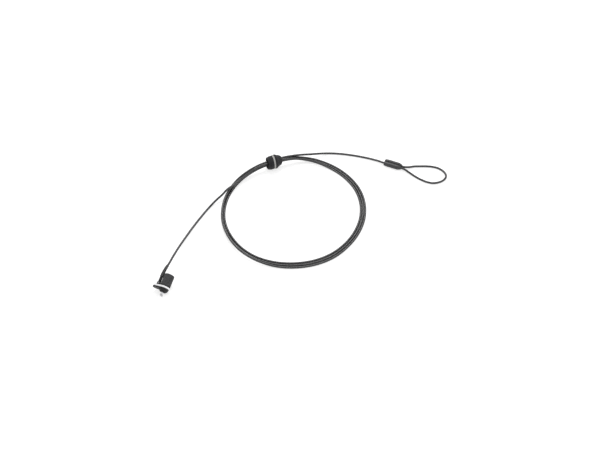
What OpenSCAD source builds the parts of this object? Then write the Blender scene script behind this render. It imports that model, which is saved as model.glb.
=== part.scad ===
// Cable lock for a laptop: a keyed T-bar lock head on a coated steel cable.
// The stiff cable holds the head up on the rim of its collar; the spare cable
// is wound in three loops, tied with a strap, and ends in a crimped eye.
// Millimetres, +Z up. The lock points along -Y and down.

/* [Lock body] */
// Outer diameter of the rubber sleeve
sleeve_d = 15.1; // [13:0.1:18]
// Thickness of the rubber sleeve
sleeve_wall = 0.9; // [0.6:0.1:1.2]
// Length of the body behind the collar
body_len = 19; // [17:0.1:26]
// Rounding of the rear edge of the sleeve
sleeve_round = 1.6; // [0.8:0.1:1.9]
// Angle of the head to the ground, its front end down
head_tilt = 18; // [12:0.5:24]

/* [Lock core] */
// Diameter of the key plug
plug_d = 8; // [7:0.1:8.4]
// Radial clearance of parts that turn
turn_gap = 0.05; // [0.02:0.01:0.1]
// Number of wafer tumblers
wafer_count = 5; // [3:1:5]
// Distance from one wafer to the next
wafer_pitch = 1.7; // [1.4:0.1:1.8]
// Travel of a wafer into its groove
wafer_travel = 0.8; // [0.5:0.1:1]
// Width of the keyway
keyway_w = 1.1; // [0.8:0.1:1.4]
// Height of the keyway
keyway_h = 4.4; // [3.4:0.1:5]

/* [T-bar] */
// Length of the cross piece of the T-bar
tbar_len = 6.4; // [5:0.1:6.6]
// Width of the cross piece
tbar_w = 2.6; // [2.2:0.1:2.8]
// Thickness of the cross piece
tbar_t = 2.4; // [1.4:0.1:3]
// Gap between the rubber pad and the cross piece
tbar_gap = 3.6; // [2:0.1:4]
// Diameter of the neck of the T-bar
neck_d = 2.4; // [1.9:0.1:2.6]
// Diameter of each slot pin
slot_pin_d = 1.3; // [1:0.1:1.5]

/* [Collar] */
// Outer diameter of the collar plate
collar_d = 15.8; // [15.4:0.1:19]
// Thickness of the bright collar plate
plate_t = 2.5; // [1.5:0.1:3.5]
// Thickness of the dark swivel base
base_t = 2.25; // [1.5:0.05:3]
// Radius of the rounded end of the ear
ear_r = 4.4; // [4:0.1:5.2]
// Diameter of the spigot that the collar turns on
spigot_d = 8.8; // [8.2:0.1:9.4]
// Radial clearance of the collar on its spigot
collar_gap = 0.1; // [0.05:0.01:0.1]

/* [Cable link] */
// Diameter of the link that holds the end of the cable
link_d = 4.4; // [4.2:0.1:4.8]
// Length of the link from its hinge pin to its mouth
link_len = 11; // [8:0.1:12]
// Length of the ribbed boot round the cable, behind the link
boot_len = 20; // [14:0.5:24]
// Diameter of the boot at the link
boot_d = 5.4; // [4.8:0.1:5.8]
// Diameter of the hinge pin
hinge_pin_d = 1.6; // [1.2:0.1:1.8]
// Gap between the link and the sleeve
link_gap = 0.8; // [0.7:0.05:2]

/* [Cable] */
// Outer diameter of the coated cable
cable_d = 3.3; // [2.7:0.1:3.4]
// Radius of the wound loops, to the middle of the winding
coil_r = 106; // [100:1:107]
// Distance between neighbouring strands, centre to centre
strand_pitch = 4; // [3.9:0.05:4.2]
// Length of the moulded cover over the ferrule
cover_len = 28; // [24:0.5:34]
// Thickness of the moulded cover
cover_t = 7.2; // [6.4:0.1:7.6]
// Length of the crimped ferrule
ferrule_len = 20; // [14:0.5:22]

/* [Strap] */
// Width of the hook-and-loop strap
strap_w = 21; // [16:0.5:25]
// Thickness of the strap
strap_t = 1; // [0.6:0.05:1.2]
// Distance from one layer of the strap to the next
strap_pitch = 1.35; // [1.25:0.05:1.6]
// Number of turns of the strap round the cables
strap_turns = 3.8; // [2.8:0.1:4.2]
// Width of the pale stripe
stripe_w = 2.2; // [1:0.1:6]

/* [Hidden] */
$fn = 64;
// Gap of a fixed fit, reach of a joined shape into its neighbour, and how
// far a cut runs past the surface it opens
fit_gap = 0.02;
join = 0.2;
cut = 1;

// Places along the lock's axis, measured from the front of the sleeve
// (0), positive towards the T-bar
sleeve_r = sleeve_d / 2;
case_r = sleeve_r - sleeve_wall - fit_gap;
plug_r = plug_d / 2;
rear_s = -body_len;
lip_t = 1;
case_rear_s = rear_s + lip_t;
bezel_t = 1;
bezel_r = case_r - 1;
lip_r = bezel_r - 0.4;
plug_proud = 0.3;
plug_rear_s = case_rear_s - plug_proud;
plug_front_s = -4.2;
web_s = -3.6;
case_front_s = -0.2;
washer_t = 0.4;
plate_s = 0.25;
plate_end_s = plate_s + plate_t;
base_end_s = plate_end_s + base_t;
nose_s = base_end_s + 0.15;
spigot_end_s = nose_s + 1.25;
nose_end_s = spigot_end_s + 1.1;
pad_t = 0.6;
pad_end_s = nose_end_s + pad_t;
tbar_s = pad_end_s + tbar_gap;
tbar_end_s = tbar_s + tbar_t;

// Collar, ear and hinge
collar_r = collar_d / 2;
spigot_r = spigot_d / 2;
base_r = collar_r - 0.85;
nose_r = base_r - 0.6;
dome_r = 6;
dome_s = plate_end_s + 0.45;
link_r = link_d / 2;
hinge_x = sleeve_r + link_gap + link_r;
hinge_s = -(link_r + 0.5);
ear_x = hinge_x + 2.2;
ear_reach = ear_x + ear_r;
plate_ear_r = ear_r - 0.3;
cheek_t = 1.5;
tongue_t = 2.4;
cheek_in = tongue_t / 2 + 0.2;
cheek_out = cheek_in + cheek_t;
window_gap = 0.2;
shoulder_s = hinge_s - link_r - 0.5;
link_mouth_s = hinge_s - link_len;
link_bore_end_s = shoulder_s - 0.5;
// The boot bends downwards with the cable; its ribs step down in size
boot_bend = 29;
boot_ribs = 8;
bend_r = boot_len * 180 / (PI * boot_bend);
boot_end_w = bend_r * (cos(boot_bend) - 1);
boot_end_s = link_mouth_s - bend_r * sin(boot_bend);

// Spindle and pins
shaft_r = 1.8;
flange_r = 3.2;
stub_r = 0.8;
stub_len = 1.2;
slot_pin_w = 1.95 + slot_pin_d / 2;
slot_pin_end_s = pad_end_s + 1.2;
slot_pin_root_s = case_front_s + 1.5;
stop_pin_r = 0.75;
stop_pin_s = plug_front_s - 1.3;
stop_groove_r = plug_r - 0.9;
stop_from = 164;
stop_sweep = 122;
tang_w = 3;
tang_t = 1.4;
tang_len = 2;

// Wafers: the lug of each one stands on its spring
wafer_t = 0.6;
wafer_w = 3;
wafer_gap = 0.05;
wafer_half = sqrt(pow(plug_r, 2) - pow(wafer_w / 2, 2)) - 0.1;
wafer_front_s = plug_front_s - 3.4;
wafer_rear_s = wafer_front_s - (wafer_count - 1) * wafer_pitch;
spring_r = 0.42;
spring_x = 2.15;
spring_len = 2.6;
lug_w = -0.3;
lug_h = 0.8;

// The head rests on the rim of its collar, and its box stands centred on
// the origin
tip_c = cos(head_tilt);
tip_d = sin(head_tilt);
head_z = plate_end_s * tip_d + collar_r * tip_c;
head_x = (ear_reach - collar_r) / 2;
rear_y = (body_len - sleeve_round) * tip_c
    + (sleeve_r - sleeve_round) * tip_d + sleeve_round;
front_y = tbar_end_s * tip_c + tbar_len / 2 * tip_d;
head_y = (front_y - rear_y) / 2;

// A point beside the lock's axis (x), above it (w) and along it (s)
function on_head(x, w, s) = [
    head_x + x,
    head_y - s * tip_c - w * tip_d,
    head_z - s * tip_d + w * tip_c];

// Cable
cable_r = cable_d / 2;
cable_z = cable_r + 0.1;
half_pitch = strand_pitch / 2;

// Strap: a spiral band on the floor, across the four strands
stripe_t = 0.2;
strap_in_r = sqrt(2) * half_pitch + cable_r + 0.22;
strap_low_turn = floor(strap_turns - 0.75) + 0.75;
strap_z = strap_in_r + strap_pitch * strap_low_turn + strap_t + stripe_t;
strap_steps = ceil(24 * strap_turns);
stripe_steps = 21;

// Winding: three loops, counted clockwise from the strap at strap_angle
coil_x = 120.1;
coil_y = 203.1;
strap_angle = 129;
strap_heading = 43;
loops = 3;
rings_per_loop = 24;
coil_lift = strap_z - cable_z - half_pitch;
lift_half = 50;
// The strap draws the loops in by the dent; the swells are the uneven
// places of the loops by themselves: how far out, where and how wide
dent = 10.8;
dent_middle = -5;
dent_before = 62;
dent_after = 56;
SWELLS = [[1.3, 88, 36], [-1.1, 142, 30], [2.3, 235, 45], [-2.3, 300, 28]];

function smooth(x) = let(t = min(1, max(0, x))) t * t * (3 - 2 * t);
function bump(x) = abs(x) < 1 ? 0.5 + 0.5 * cos(180 * x) : 0;
// Degrees from the strap, from -180 to 180
function from_strap(a) = a > 180 ? a - 360 : a;
function swell(a) = [for (s = SWELLS) s[0] * bump((a - s[1]) / s[2])]
    * [for (s = SWELLS) 1];
function loop_radius(a) = let(f = from_strap(a) - dent_middle)
    coil_r - dent * bump(f / (f < 0 ? dent_before : dent_after)) + swell(a);
// The strands run straight for this far on both sides of the strap
strap_span = strap_w / 2 + 0.5;
span_angle = atan(strap_span / loop_radius(0));
function loop_lift(a) = coil_lift * bump(
    (abs(from_strap(a)) - span_angle) / (lift_half - span_angle));
// Sideways place of strand k, outwards: flat, then drawn in by the strap;
// for a while the strands lie loose, a little further apart
loose_gap = 0.6;
function strand_side(k, a) =
    let(spread = smooth((a - span_angle) / 18),
        gather = smooth((a - 230) / 60),
        loose = smooth((a - 145) / 30) * (1 - smooth((a - 200) / 40)),
        start = k == 2 ? half_pitch : -half_pitch,
        end = k == 0 ? -half_pitch : half_pitch,
        flat = (k - 1) * (strand_pitch + loose_gap * loose))
    start + (flat - start) * spread + (end - flat) * gather;
// The first strand comes down off the others, the last climbs on them
function strand_up(k, a) =
    k == 0 ? strand_pitch * (1 - smooth((a - 20) / 40))
    : k == 2 ? strand_pitch * smooth((a - 200) / 40) : 0;
function around(a, side, z) =
    let(r = loop_radius(a) + side, b = strap_angle - a)
    [coil_x + r * cos(b), coil_y + r * sin(b), z];
strap_dir = [cos(strap_heading), sin(strap_heading), 0];
strap_out = [-sin(strap_heading), cos(strap_heading), 0];
function in_strap(along, side, up) = around(0, 0, cable_z + coil_lift + up)
    + along * strap_dir + side * strap_out;
loop_step = (360 - 2 * span_angle) / (rings_per_loop - 2);
function ring_angle(j) = j == 0 ? 0 : span_angle + (j - 1) * loop_step;
function strand_point(k, j) = let(a = ring_angle(j))
    j <= 1 ? in_strap(j * strap_span, strand_side(k, 0), strand_up(k, 0))
    : j == rings_per_loop - 1
        ? in_strap(-strap_span, strand_side(k, a), strand_up(k, a))
    : around(a, strand_side(k, a),
        cable_z + loop_lift(a) + strand_up(k, a));
tail_in = strand_point(0, 0);
tail_out = in_strap(0, half_pitch, strand_pitch);
coil_path = concat([for (i = [0 : loops * rings_per_loop - 1])
    strand_point(floor(i / rings_per_loop), i % rings_per_loop)], [tail_out]);

// Route of the cable from the lock to the winding
LOCK_ROUTE = [[-6.3, 39.1, 12.1], [-7.1, 49.2, 10.4],
    [-7.6, 59.4, 8.8], [-7.9, 69.6, 7.3], [-7.9, 79.9, 5.9],
    [-7.7, 90.2, 4.6], [-7.3, 100.5, 3.5], [-6.8, 110.7, 2.7],
    [-5.9, 120.9, 2.1], [-4.8, 131, 1.8], [-3.3, 141, 1.8],
    [-1.7, 151.2, 1.8], [0.3, 161.5, 1.8], [2.6, 168.7, 3.1],
    [6.5, 178.4, 5.4], [11, 188.1, 7.8], [14.7, 199.4, 9.7],
    [19.1, 208.6, 9.7], [21.9, 217.4, 8.7], [24.2, 226, 7.9],
    [30.1, 237.4, 9.3], [36.7, 249.3, 11.2]];
// Route of the cable from the winding to the ferrule
LOOP_ROUTE = [[89.8, 303.4, 11], [97.5, 308.9, 9.6],
    [104.9, 314.4, 7.5], [112.2, 320.1, 5.6], [119.8, 325.7, 3.8],
    [127.7, 330.4, 2.6], [136.1, 334.2, 2], [144.9, 337.1, 1.8],
    [154.1, 339.4, 1.8], [163.8, 341.3, 1.8], [173.5, 342.9, 1.8],
    [183.1, 344, 1.8], [192.7, 344.8, 1.9], [202.2, 344.8, 2.3],
    [210.7, 344.1, 3]];
// Route of the eye, from the ferrule and back to it
EYE_ROUTE = [[260.8, 339, 2.6], [271.2, 335.2, 1.9],
    [281.9, 332.1, 1.8], [292.3, 330.6, 1.8], [301.5, 331.6, 1.8],
    [309.4, 336.1, 1.8], [315.3, 343.3, 1.8], [317.1, 350.7, 1.8],
    [314.8, 356.8, 1.8], [308.8, 361.6, 1.8], [300.8, 364.3, 1.8],
    [291.8, 364.1, 1.8], [282.5, 361.8, 1.8], [273.3, 358.3, 1.8],
    [264.2, 354.3, 1.9], [256.8, 349.1, 2.6]];

// Ferrule and its cover, turned by cover_angle about the cover's start
cover_angle = -1.5;
cover_start = [218.8, 344.9, cover_t / 2];
cover_dir = [cos(cover_angle), sin(cover_angle), 0];
cover_side = [-sin(cover_angle), cos(cover_angle), 0];
bore_x = 2;
lobe_x = 2.9;
valley = 0.7;
ferrule_t = cover_t - 1.6;
cover_wall = (cover_len - ferrule_len) / 2;
cut_end = cover_wall + join;
function on_cover(along, side) =
    cover_start + along * cover_dir + side * cover_side;

// Whole paths: straight for one diameter where they meet something
boot_exit = on_head(-hinge_x, boot_end_w, boot_end_s);
boot_dir = [0, cos(head_tilt - boot_bend), sin(head_tilt - boot_bend)];
lock_path = concat([boot_exit, boot_exit + cable_d * boot_dir],
    LOCK_ROUTE, [tail_in - strap_span * strap_dir, tail_in]);
loop_path = concat([tail_out, tail_out + strap_span * strap_dir],
    LOOP_ROUTE, [on_cover(-cable_d, -bore_x), on_cover(0, -bore_x)]);
eye_path = concat(
    [on_cover(cover_len, -bore_x), on_cover(cover_len + cable_d, -bore_x)],
    EYE_ROUTE,
    [on_cover(cover_len + cable_d, bore_x), on_cover(cover_len, bore_x)]);

// Tube swept along a path; its rings stand square to the path
tail_sides = 8;
coil_sides = 6;
function unit(v) = v / norm(v);
function path_dir(p, i) =
    i == 0 ? unit(p[1] - p[0])
    : i == len(p) - 1 ? unit(p[i] - p[i - 1])
    : unit(unit(p[i + 1] - p[i]) + unit(p[i] - p[i - 1]));
function ring_points(p, i, sides, turn) =
    let(t = path_dir(p, i), s = unit(cross(t, [0, 0, 1])), u = cross(s, t))
    [for (j = [0 : sides - 1]) let(a = turn + 360 * j / sides)
        p[i] + cable_r * (cos(a) * s + sin(a) * u)];
function tube_points(p, sides, turn) =
    [for (i = [0 : len(p) - 1]) each ring_points(p, i, sides, turn)];
function tube_faces(rings, sides) = concat(
    [for (i = [0 : rings - 2], j = [0 : sides - 1])
        let(a = i * sides + j, b = i * sides + (j + 1) % sides)
        [a, b, b + sides]],
    [for (i = [0 : rings - 2], j = [0 : sides - 1])
        let(a = i * sides + j, b = i * sides + (j + 1) % sides)
        [a, b + sides, a + sides]],
    [[for (j = [sides - 1 : -1 : 0]) j]],
    [[for (j = [0 : sides - 1]) (rings - 1) * sides + j]]);
module tube(path, sides, turn) {
    polyhedron(tube_points(path, sides, turn),
        tube_faces(len(path), sides), convexity = 10);
}

// Least gap of the winding to itself, half a loop on or more
function gap_at(i) = let(p = coil_path[i])
    min([for (j = [i + rings_per_loop / 2 : len(coil_path) - 2])
        let(a = coil_path[j], b = coil_path[j + 1] - a,
            t = min(1, max(0, (p - a) * b / (b * b))))
        norm(p - a - t * b)]) - cable_d;
coil_gap = min([for (i = [0 : (loops - 1) * rings_per_loop]) gap_at(i)]);
function path_length(p, i = 0) =
    i >= len(p) - 1 ? 0 : norm(p[i + 1] - p[i]) + path_length(p, i + 1);
echo(coil_gap = coil_gap, lock_tail = path_length(lock_path),
    coil = path_length(coil_path), loop_tail = path_length(loop_path),
    eye = path_length(eye_path));

// Places a child drawn about the lock's axis: its Z runs to the T-bar
module head() {
    translate([head_x, head_y, head_z]) rotate([90 + head_tilt, 0, 0])
        children();
}
module rod(r, from, to) {
    translate([0, 0, from]) cylinder(h = to - from, r = r);
}
module block(w, h, from, to) {
    translate([-w / 2, -h / 2, from]) cube([w, h, to - from]);
}

module body_sleeve() {
    round_s = rear_s + sleeve_round;
    color("#2f2f31") head() difference() {
        rotate_extrude() difference() {
            union() {
                translate([0, round_s]) square([sleeve_r, -round_s]);
                translate([0, rear_s])
                    square([sleeve_r - sleeve_round, sleeve_round]);
                intersection() {
                    translate([sleeve_r - sleeve_round, round_s])
                        circle(r = sleeve_round);
                    translate([0, rear_s]) square([sleeve_r, sleeve_round]);
                }
            }
            translate([0, case_rear_s]) square([case_r + fit_gap, body_len]);
            translate([0, rear_s - cut]) square([lip_r, lip_t + 2 * cut]);
        }
    }
}

module lock_case() {
    color("#8c8c8e") head() difference() {
        union() {
            rod(case_r, case_rear_s, case_front_s);
            rod(spigot_r, case_front_s, spigot_end_s);
        }
        rod(bezel_r + fit_gap, case_rear_s - cut, case_rear_s + bezel_t);
        rod(plug_r + turn_gap, case_rear_s, web_s);
        rod(shaft_r + turn_gap, web_s - cut, spigot_end_s + cut);
        wafer_grooves();
        stop_pin_rod(stop_pin_r + fit_gap);
        slot_pin_rods(slot_pin_d / 2 + fit_gap, spigot_end_s + cut);
    }
}
// Grooves at the four quarter turns, where the wafers may reach out
module wafer_grooves() {
    groove_w = wafer_w + join;
    reach = 2 * (plug_r + wafer_travel);
    block(groove_w, reach, wafer_rear_s - wafer_t, wafer_front_s + wafer_t);
    block(reach, groove_w, wafer_rear_s - wafer_t, wafer_front_s + wafer_t);
}
module stop_pin_rod(r) {
    translate([0, -case_r - cut, stop_pin_s]) rotate([-90, 0, 0])
        cylinder(h = cut + case_r - stop_groove_r, r = r, $fn = 32);
}
module slot_pin_rods(r, end_s) {
    for (side = [-1, 1]) translate([0, side * slot_pin_w, 0])
        rod(r, slot_pin_root_s, end_s, $fn = 32);
}

module rear_bezel() {
    color("#b9bbbe") head() difference() {
        rod(bezel_r, case_rear_s, case_rear_s + bezel_t);
        rod(plug_r + turn_gap, case_rear_s - cut, case_rear_s + bezel_t + cut);
    }
}

module key_plug() {
    color("#c9a95c") head() difference() {
        rod(plug_r, plug_rear_s, plug_front_s);
        block(keyway_w, keyway_h, plug_rear_s - cut, wafer_front_s + wafer_t);
        block(tang_t + 2 * fit_gap, tang_w + 2 * fit_gap,
            plug_front_s - tang_len, plug_front_s + cut);
        for (i = [0 : wafer_count - 1]) at_wafer(i) wafer_room();
        translate([0, 0, stop_pin_s]) rotate([0, 0, stop_from])
            rotate_extrude(angle = stop_sweep)
                translate([stop_groove_r - turn_gap, -stop_pin_r - turn_gap])
                    square([plug_r, 2 * (stop_pin_r + turn_gap)]);
    }
}
module at_wafer(i) {
    translate([0, 0, wafer_front_s - i * wafer_pitch]) children();
}
module wafer_room() {
    half_t = wafer_t / 2 + wafer_gap;
    block(wafer_w + 2 * wafer_gap, 2 * plug_r + cut, -half_t, half_t);
    translate([0, lug_w - wafer_gap, -half_t])
        cube([spring_x + spring_r + wafer_gap,
            lug_h + wafer_travel + 2 * wafer_gap, 2 * half_t]);
    translate([spring_x, lug_w - spring_len, 0]) rotate([-90, 0, 0])
        cylinder(h = spring_len, r = spring_r + wafer_gap, $fn = 24);
}

module wafers() {
    window_w = keyway_w + 0.2;
    window_h = keyway_h - 0.8;
    color("#d8c27a") head() for (i = [0 : wafer_count - 1]) at_wafer(i)
        difference() {
            union() {
                block(wafer_w, 2 * wafer_half, -wafer_t / 2, wafer_t / 2);
                translate([0, lug_w, -wafer_t / 2])
                    cube([spring_x + spring_r, lug_h, wafer_t]);
            }
            block(window_w, window_h, -wafer_t, wafer_t);
        }
}
module wafer_springs() {
    color("#a8abb0") head() for (i = [0 : wafer_count - 1]) at_wafer(i)
        translate([spring_x, lug_w - spring_len, 0]) rotate([-90, 0, 0])
            difference() {
                cylinder(h = spring_len, r = spring_r, $fn = 24);
                translate([0, 0, -cut]) cylinder(h = spring_len + 2 * cut,
                    r = spring_r / 2, $fn = 24);
            }
}

module stop_pin() {
    color("#9a9ca0") head() intersection() {
        stop_pin_rod(stop_pin_r);
        rod(case_r, rear_s, 0);
    }
}

module spindle() {
    color("#c8cacd") head() {
        block(tang_t, tang_w, plug_front_s - tang_len, plug_front_s + join);
        rod(flange_r, plug_front_s, web_s - turn_gap);
        rod(shaft_r, web_s - join, spigot_end_s - turn_gap);
        rod(neck_d / 2, spigot_end_s - join, tbar_s);
        rod(stub_r, tbar_s - join, tbar_s + stub_len);
    }
}
module t_bar() {
    color("#d2d4d6") head() difference() {
        intersection() {
            block(tbar_w, tbar_len, tbar_s, tbar_end_s);
            rod(tbar_len / 2, tbar_s - cut, tbar_end_s + cut);
        }
        rod(stub_r + fit_gap, tbar_s - cut, tbar_s + stub_len + fit_gap);
    }
}

module slot_pins() {
    color("#d4d6d9") head() slot_pin_rods(slot_pin_d / 2, slot_pin_end_s);
}

module wave_washer() {
    color("#b0b3b6") head() difference() {
        rod(spigot_r + 1.9, case_front_s, case_front_s + washer_t);
        rod(spigot_r + collar_gap, case_front_s - cut, plate_s + cut);
    }
}

// Outline of the collar: a disc and a rounded ear joined by tangents
module ear_outline(disc_r, end_r) {
    lean = acos((disc_r - end_r) / ear_x);
    above = [-cos(lean), sin(lean)];
    below = [-cos(lean), -sin(lean)];
    ear = [-ear_x, 0];
    circle(r = disc_r, $fn = 96);
    translate(ear) circle(r = end_r);
    polygon([disc_r * above, ear + end_r * above, ear + end_r * below,
        disc_r * below]);
}
// Rounded nose that the swivel base and the nose cap share
module dome() {
    rotate_extrude() {
        square([base_r, dome_s]);
        square([base_r - dome_r, dome_s + dome_r]);
        intersection() {
            translate([base_r - dome_r, dome_s]) circle(r = dome_r);
            translate([0, dome_s]) square([base_r, dome_r]);
        }
    }
}

module collar_plate() {
    color("#e3e4e6") head() translate([0, 0, plate_s])
        linear_extrude(plate_t) difference() {
            ear_outline(collar_r, plate_ear_r);
            circle(r = spigot_r + collar_gap);
            translate([-hinge_x - link_r - window_gap,
                -cheek_out - window_gap])
                square([2 * (link_r + window_gap),
                    2 * (cheek_out + window_gap)]);
        }
}

module swivel_base() {
    color("#1c1c1e") head() {
        difference() {
            union() {
                intersection() {
                    dome();
                    rod(base_r, plate_end_s, base_end_s);
                }
                translate([0, 0, plate_end_s]) linear_extrude(base_t)
                    ear_outline(nose_r, ear_r);
            }
            rod(spigot_r + collar_gap, plate_end_s - cut, base_end_s + cut);
        }
        for (side = [-1, 1]) difference() {
            translate([-hinge_x, side * (cheek_in + cheek_out) / 2, 0])
                cheek();
            hinge_bore(hinge_pin_d / 2 + fit_gap);
        }
    }
}
// One cheek of the hinge: a rounded plate standing on the base
module cheek() {
    translate([-link_r, -cheek_t / 2, hinge_s])
        cube([2 * link_r, cheek_t, plate_end_s + join - hinge_s]);
    translate([0, cheek_t / 2, hinge_s]) rotate([90, 0, 0])
        cylinder(h = cheek_t, r = link_r);
}
module hinge_bore(r) {
    translate([-hinge_x, cheek_out + cut, hinge_s]) rotate([90, 0, 0])
        cylinder(h = 2 * (cheek_out + cut), r = r, $fn = 32);
}

module nose_cap() {
    color("#242426") head() difference() {
        intersection() {
            dome();
            rod(nose_r, nose_s, nose_end_s);
        }
        rod(spigot_r + fit_gap, nose_s - cut, spigot_end_s);
        rod(neck_d / 2 + 0.3, nose_s, nose_end_s + cut);
        slot_pin_rods(slot_pin_d / 2 + fit_gap, nose_end_s + cut);
    }
}

// The opening of the pad lets the T-bar and the slot pins through
module face_pad() {
    slot_w = tbar_w + 0.8;
    slot_len = max(tbar_len, 2 * slot_pin_w + slot_pin_d) + 0.8;
    color("#3a3a3c") head() difference() {
        rod(spigot_r + 0.1, nose_end_s, pad_end_s);
        block(slot_w, slot_len, nose_end_s - cut, pad_end_s + cut);
    }
}

module hinge_pin() {
    head_t = 0.4;
    head_r = hinge_pin_d / 2 + 0.45;
    color("#6c6e72") head() translate([-hinge_x, 0, hinge_s])
        rotate([90, 0, 0]) {
            rod(hinge_pin_d / 2, -cheek_out, cheek_out);
            rod(head_r, cheek_out, cheek_out + head_t);
            rod(head_r, -cheek_out - head_t, -cheek_out);
        }
}

module cable_link() {
    rim = 0.2;
    rim_len = 1;
    tongue_r = link_r - 0.1;
    color("#202022") head() difference() {
        translate([-hinge_x, 0, 0]) {
            rod(link_r, link_mouth_s, shoulder_s);
            rod(link_r + rim, link_mouth_s, link_mouth_s + rim_len);
            translate([-tongue_r, -tongue_t / 2, shoulder_s - join])
                cube([2 * tongue_r, tongue_t, hinge_s - shoulder_s + join]);
            translate([0, tongue_t / 2, hinge_s]) rotate([90, 0, 0])
                cylinder(h = tongue_t, r = tongue_r);
        }
        translate([-hinge_x, 0, 0])
            rod(cable_r + fit_gap, link_mouth_s - cut, link_bore_end_s);
        hinge_bore(hinge_pin_d / 2 + turn_gap);
    }
}

// A round bar that bends on from the mouth of the link, between two angles
module bent(r, from, to) {
    translate([-hinge_x, -bend_r, link_mouth_s])
        rotate([0, -90, 0]) rotate([0, 0, 90 + from])
            rotate_extrude(angle = to - from) translate([bend_r, 0])
                circle(r = r);
}
module cable_boot() {
    core_r = cable_r + 0.4;
    rib_step = boot_bend / boot_ribs;
    taper = (boot_d / 2 - core_r) / (boot_ribs + 1);
    color("#262628") head() difference() {
        union() {
            bent(core_r, 0, boot_bend);
            for (i = [0 : boot_ribs - 1])
                bent(boot_d / 2 - taper * i, i * rib_step,
                    (i + 0.6) * rib_step);
        }
        bent(cable_r + fit_gap, -1, boot_bend + 1);
    }
}
module cable_end() {
    color("#2a2a2c") head() {
        translate([-hinge_x, 0, 0])
            rod(cable_r, link_mouth_s, link_bore_end_s);
        bent(cable_r, -0.01, boot_bend);
    }
}

module cable_lock_tail() {
    color("#2c2c2e") tube(lock_path, tail_sides, 180 / tail_sides);
}
module cable_coil() {
    color("#2c2c2e") tube(coil_path, coil_sides, 0);
}
module cable_loop_tail() {
    color("#2c2c2e") tube(loop_path, tail_sides, 180 / tail_sides);
}
module cable_eye() {
    color("#2c2c2e") tube(eye_path, tail_sides, 180 / tail_sides);
}

// Places a child drawn along Z from the start of the ferrule's cover
module in_cover() {
    translate(cover_start) rotate([0, 0, cover_angle]) rotate([90, 0, 90])
        children();
}
// Two lobes side by side, with a shallow valley between them
module lobes(r, x) {
    for (side = [-1, 1]) translate([side * x, 0]) circle(r = r);
    square([2 * x, 2 * (r - valley)], center = true);
}

module cable_crimp_run() {
    color("#2c2c2e") in_cover() {
        translate([-bore_x, 0, 0]) rod(cable_r, 0, cover_len);
        translate([bore_x, 0, 0]) rod(cable_r, cut_end, cover_len);
    }
}
module ferrule() {
    color("#b4b6b8") in_cover() translate([0, 0, cover_wall])
        linear_extrude(ferrule_len) difference() {
            lobes(ferrule_t / 2, bore_x);
            for (side = [-1, 1]) translate([side * bore_x, 0])
                circle(r = cable_r + fit_gap);
        }
}
module ferrule_cover() {
    color("#161617") in_cover() difference() {
        linear_extrude(cover_len) lobes(cover_t / 2, lobe_x);
        translate([0, 0, cover_wall]) linear_extrude(ferrule_len)
            lobes(ferrule_t / 2 + fit_gap, bore_x);
        translate([-bore_x, 0, 0])
            rod(cable_r + fit_gap, -cut, cover_len + cut);
        translate([bore_x, 0, 0])
            rod(cable_r + fit_gap, cover_wall, cover_len + cut);
    }
}

// A band that follows the strap's spiral from its step first to the end
function spiral_point(i, out) = let(turn = strap_turns * i / strap_steps)
    (strap_in_r + strap_pitch * turn + out)
        * [cos(360 * turn), sin(360 * turn)];
module spiral_band(first, low, high, width) {
    translate(around(0, 0, strap_z)) rotate([0, 0, strap_heading + 90])
        rotate([90, 0, 0]) translate([0, 0, -width / 2])
            linear_extrude(width) polygon(concat(
                [for (i = [first : strap_steps]) spiral_point(i, high)],
                [for (i = [strap_steps : -1 : first])
                    spiral_point(i, low)]));
}
module strap() {
    color("#19191a") spiral_band(0, 0, strap_t, strap_w);
}
module strap_stripe() {
    color("#b9b9b6") spiral_band(strap_steps - stripe_steps, strap_t,
        strap_t + stripe_t, stripe_w);
}

body_sleeve();
lock_case();
rear_bezel();
key_plug();
wafers();
wafer_springs();
stop_pin();
spindle();
t_bar();
slot_pins();
wave_washer();
collar_plate();
swivel_base();
nose_cap();
face_pad();
hinge_pin();
cable_link();
cable_boot();
cable_end();
cable_lock_tail();
cable_coil();
cable_loop_tail();
cable_eye();
cable_crimp_run();
ferrule();
ferrule_cover();
strap();
strap_stripe();
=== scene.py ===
"""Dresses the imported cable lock: its cable, strap, ferrule cover and finishes."""

import math

import bpy
from bpy.props import FloatProperty, FloatVectorProperty, IntProperty, PointerProperty
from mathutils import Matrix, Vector, kdtree, noise


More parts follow.
